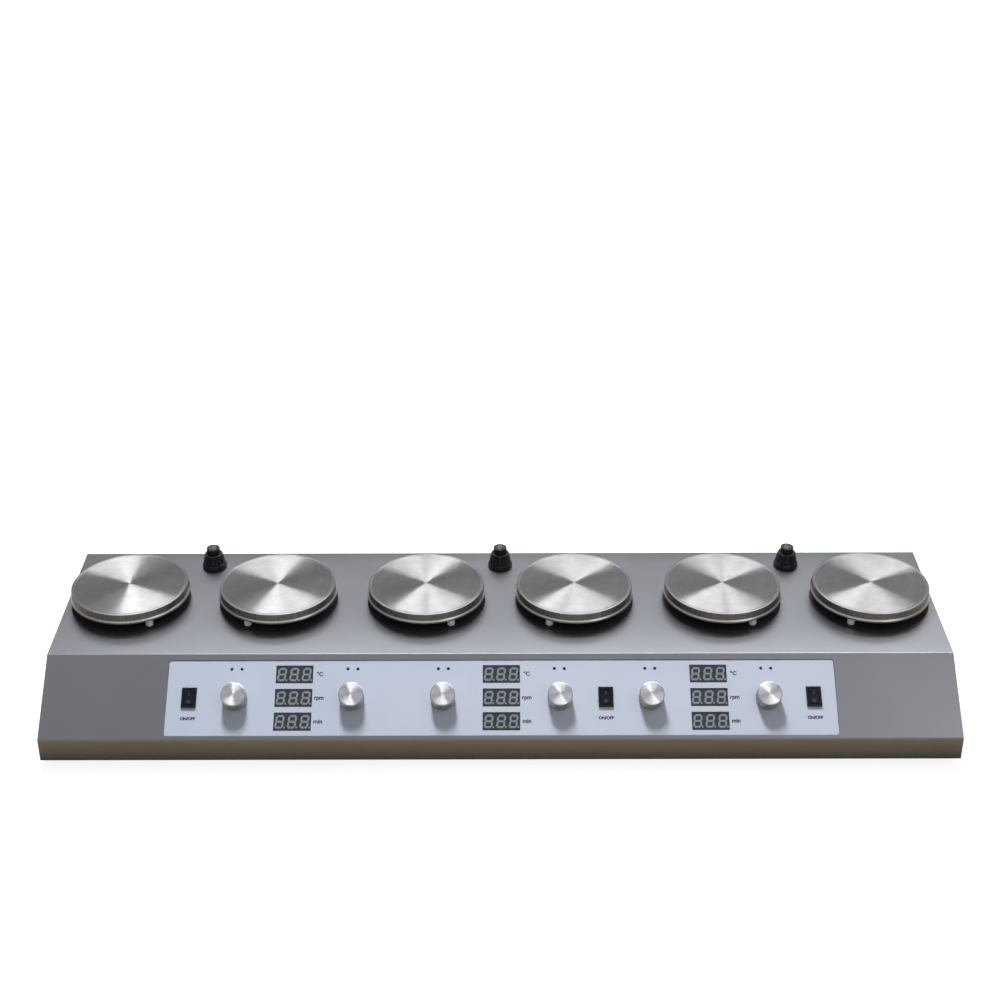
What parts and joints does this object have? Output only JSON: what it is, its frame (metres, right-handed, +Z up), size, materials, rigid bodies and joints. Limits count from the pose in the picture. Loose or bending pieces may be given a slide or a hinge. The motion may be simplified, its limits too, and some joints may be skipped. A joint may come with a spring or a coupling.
{
  "type": "multi-position hotplate stirrer",
  "caption": "Long sheet-metal laboratory hotplate stirrer: round heated plates in a row on a level deck, sloped front panel with displays, push knobs and rocker switches.",
  "frame": {"origin": "middle of the console's outline, on the surface under its feet", "axes": "+X along the row of plates, +Y to the back, +Z up"},
  "size_m": [0.93, 0.28, 0.1117],
  "materials": {
    "grey_paint": "fine satin powder coat",
    "zinc_steel": "plain zinc-plated steel",
    "foot_rubber": "matt",
    "overlay_film": "pale matt polycarbonate film",
    "circuit_board": "solder-masked board",
    "display_face": "dark tinted display face",
    "lamp_lens": "dark lens, unlit",
    "black_gloss": "moulded black plastic",
    "black_matt": "moulded black plastic, fine grain",
    "white_nylon": "natural moulded plastic",
    "turned_plate": "face-turned stainless steel",
    "knob_metal": "turned face, smooth side",
    "shaft_steel": "ground steel",
    "heater_ceramic": "pressed heater disc",
    "sensor_brass": "plain brass",
    "shield_black": "matt black heat-proof paint",
    "post_ceramic": "white steatite",
    "cast_alloy": "die cast",
    "copper_wire": "varnished copper winding",
    "magnet": "nickel-plated magnet",
    "supply_case": "folded sheet case"
  },
  "bodies": {
    "console": {"case_cover": "grey_paint", "base_plate": "grey_paint", "rubber_feet": "foot_rubber", "case_screws": "zinc_steel", "panel_backing": "zinc_steel", "panel_overlay": "overlay_film", "control_boards": "circuit_board", "displays": "display_face", "indicator_lamps": "lamp_lens", "encoder_bodies": "cast_alloy", "encoder_nuts": "zinc_steel", "switch_bodies": "black_gloss", "hotplates": "turned_plate", "heating_elements": "heater_ceramic", "temperature_sensors": "sensor_brass", "heat_shields": "shield_black", "ceramic_posts": "post_ceramic", "post_screws": "zinc_steel", "motor_bases": "cast_alloy", "stator_coils": "copper_wire", "rod_holders": "black_matt", "rod_collets": "black_matt", "power_inlet": "black_matt", "power_supply": "supply_case"},
    "wiper_1": {"encoder_wiper_1": "white_nylon"},
    "dial_1": {"encoder_shaft_1": "shaft_steel", "knob_1": "knob_metal"},
    "stir_rotor_1": {"rotor_bell_1": "shaft_steel", "drive_magnets_1": "magnet"},
    "wiper_2": {"encoder_wiper_2": "white_nylon"},
    "dial_2": {"encoder_shaft_2": "shaft_steel", "knob_2": "knob_metal"},
    "stir_rotor_2": {"rotor_bell_2": "shaft_steel", "drive_magnets_2": "magnet"},
    "wiper_3": {"encoder_wiper_3": "white_nylon"},
    "dial_3": {"encoder_shaft_3": "shaft_steel", "knob_3": "knob_metal"},
    "stir_rotor_3": {"rotor_bell_3": "shaft_steel", "drive_magnets_3": "magnet"},
    "wiper_4": {"encoder_wiper_4": "white_nylon"},
    "dial_4": {"encoder_shaft_4": "shaft_steel", "knob_4": "knob_metal"},
    "stir_rotor_4": {"rotor_bell_4": "shaft_steel", "drive_magnets_4": "magnet"},
    "wiper_5": {"encoder_wiper_5": "white_nylon"},
    "dial_5": {"encoder_shaft_5": "shaft_steel", "knob_5": "knob_metal"},
    "stir_rotor_5": {"rotor_bell_5": "shaft_steel", "drive_magnets_5": "magnet"},
    "wiper_6": {"encoder_wiper_6": "white_nylon"},
    "dial_6": {"encoder_shaft_6": "shaft_steel", "knob_6": "knob_metal"},
    "stir_rotor_6": {"rotor_bell_6": "shaft_steel", "drive_magnets_6": "magnet"},
    "switch_rocker_1": {"rocker_1": "black_gloss"},
    "rod_nut_1": {"grip_nut_1": "black_matt"},
    "switch_rocker_2": {"rocker_2": "black_gloss"},
    "rod_nut_2": {"grip_nut_2": "black_matt"},
    "switch_rocker_3": {"rocker_3": "black_gloss"},
    "rod_nut_3": {"grip_nut_3": "black_matt"}
  },
  "joints": [
    {"name": "knob_1_turn", "type": "hinge", "parent": "console", "child": "wiper_1", "pos_m": [-0.2693, -0.10491, 0.0593], "axis": [0, -0.5771, 0.8167], "continuous": true},
    {"name": "knob_1_push", "type": "slide", "parent": "wiper_1", "child": "dial_1", "axis": [0, 0.5771, -0.8167], "range_m": [0, 0.0005], "stiffness_N_per_m": 1000, "springref_m": -0.003},
    {"name": "stir_1_spin", "type": "hinge", "parent": "console", "child": "stir_rotor_1", "pos_m": [-0.3965, 0.036, 0.0875], "axis": [0, 0, 1], "continuous": true},
    {"name": "knob_2_turn", "type": "hinge", "parent": "console", "child": "wiper_2", "pos_m": [-0.1507, -0.10491, 0.0593], "axis": [0, -0.5771, 0.8167], "continuous": true},
    {"name": "knob_2_push", "type": "slide", "parent": "wiper_2", "child": "dial_2", "axis": [0, 0.5771, -0.8167], "range_m": [0, 0.0005], "stiffness_N_per_m": 1000, "springref_m": -0.003},
    {"name": "stir_2_spin", "type": "hinge", "parent": "console", "child": "stir_rotor_2", "pos_m": [-0.2379, 0.036, 0.0875], "axis": [0, 0, 1], "continuous": true},
    {"name": "knob_3_turn", "type": "hinge", "parent": "console", "child": "wiper_3", "pos_m": [-0.0583, -0.10491, 0.0593], "axis": [0, -0.5771, 0.8167], "continuous": true},
    {"name": "knob_3_push", "type": "slide", "parent": "wiper_3", "child": "dial_3", "axis": [0, 0.5771, -0.8167], "range_m": [0, 0.0005], "stiffness_N_per_m": 1000, "springref_m": -0.003},
    {"name": "stir_3_spin", "type": "hinge", "parent": "console", "child": "stir_rotor_3", "pos_m": [-0.0793, 0.036, 0.0875], "axis": [0, 0, 1], "continuous": true},
    {"name": "knob_4_turn", "type": "hinge", "parent": "console", "child": "wiper_4", "pos_m": [0.0603, -0.10491, 0.0593], "axis": [0, -0.5771, 0.8167], "continuous": true},
    {"name": "knob_4_push", "type": "slide", "parent": "wiper_4", "child": "dial_4", "axis": [0, 0.5771, -0.8167], "range_m": [0, 0.0005], "stiffness_N_per_m": 1000, "springref_m": -0.003},
    {"name": "stir_4_spin", "type": "hinge", "parent": "console", "child": "stir_rotor_4", "pos_m": [0.0793, 0.036, 0.0875], "axis": [0, 0, 1], "continuous": true},
    {"name": "knob_5_turn", "type": "hinge", "parent": "console", "child": "wiper_5", "pos_m": [0.1527, -0.10491, 0.0593], "axis": [0, -0.5771, 0.8167], "continuous": true},
    {"name": "knob_5_push", "type": "slide", "parent": "wiper_5", "child": "dial_5", "axis": [0, 0.5771, -0.8167], "range_m": [0, 0.0005], "stiffness_N_per_m": 1000, "springref_m": -0.003},
    {"name": "stir_5_spin", "type": "hinge", "parent": "console", "child": "stir_rotor_5", "pos_m": [0.2379, 0.036, 0.0875], "axis": [0, 0, 1], "continuous": true},
    {"name": "knob_6_turn", "type": "hinge", "parent": "console", "child": "wiper_6", "pos_m": [0.2713, -0.10491, 0.0593], "axis": [0, -0.5771, 0.8167], "continuous": true},
    {"name": "knob_6_push", "type": "slide", "parent": "wiper_6", "child": "dial_6", "axis": [0, 0.5771, -0.8167], "range_m": [0, 0.0005], "stiffness_N_per_m": 1000, "springref_m": -0.003},
    {"name": "stir_6_spin", "type": "hinge", "parent": "console", "child": "stir_rotor_6", "pos_m": [0.3965, 0.036, 0.0875], "axis": [0, 0, 1], "continuous": true},
    {"name": "switch_1_tip", "type": "hinge", "parent": "console", "child": "switch_rocker_1", "pos_m": [-0.3159, -0.10297, 0.05932], "axis": [1, 0, 0], "range_deg": [-16, 0]},
    {"name": "rod_nut_1_turn", "type": "hinge", "parent": "console", "child": "rod_nut_1", "pos_m": [-0.3172, 0.107, 0.0875], "axis": [0, 0, 1], "range_deg": [0, 540]},
    {"name": "switch_2_tip", "type": "hinge", "parent": "console", "child": "switch_rocker_2", "pos_m": [0.1069, -0.10297, 0.05932], "axis": [1, 0, 0], "range_deg": [-16, 0]},
    {"name": "rod_nut_2_turn", "type": "hinge", "parent": "console", "child": "rod_nut_2", "pos_m": [0, 0.107, 0.0875], "axis": [0, 0, 1], "range_deg": [0, 540]},
    {"name": "switch_3_tip", "type": "hinge", "parent": "console", "child": "switch_rocker_3", "pos_m": [0.3179, -0.10297, 0.05932], "axis": [1, 0, 0], "range_deg": [-16, 0]},
    {"name": "rod_nut_3_turn", "type": "hinge", "parent": "console", "child": "rod_nut_3", "pos_m": [0.3172, 0.107, 0.0875], "axis": [0, 0, 1], "range_deg": [0, 540]}
  ]
}
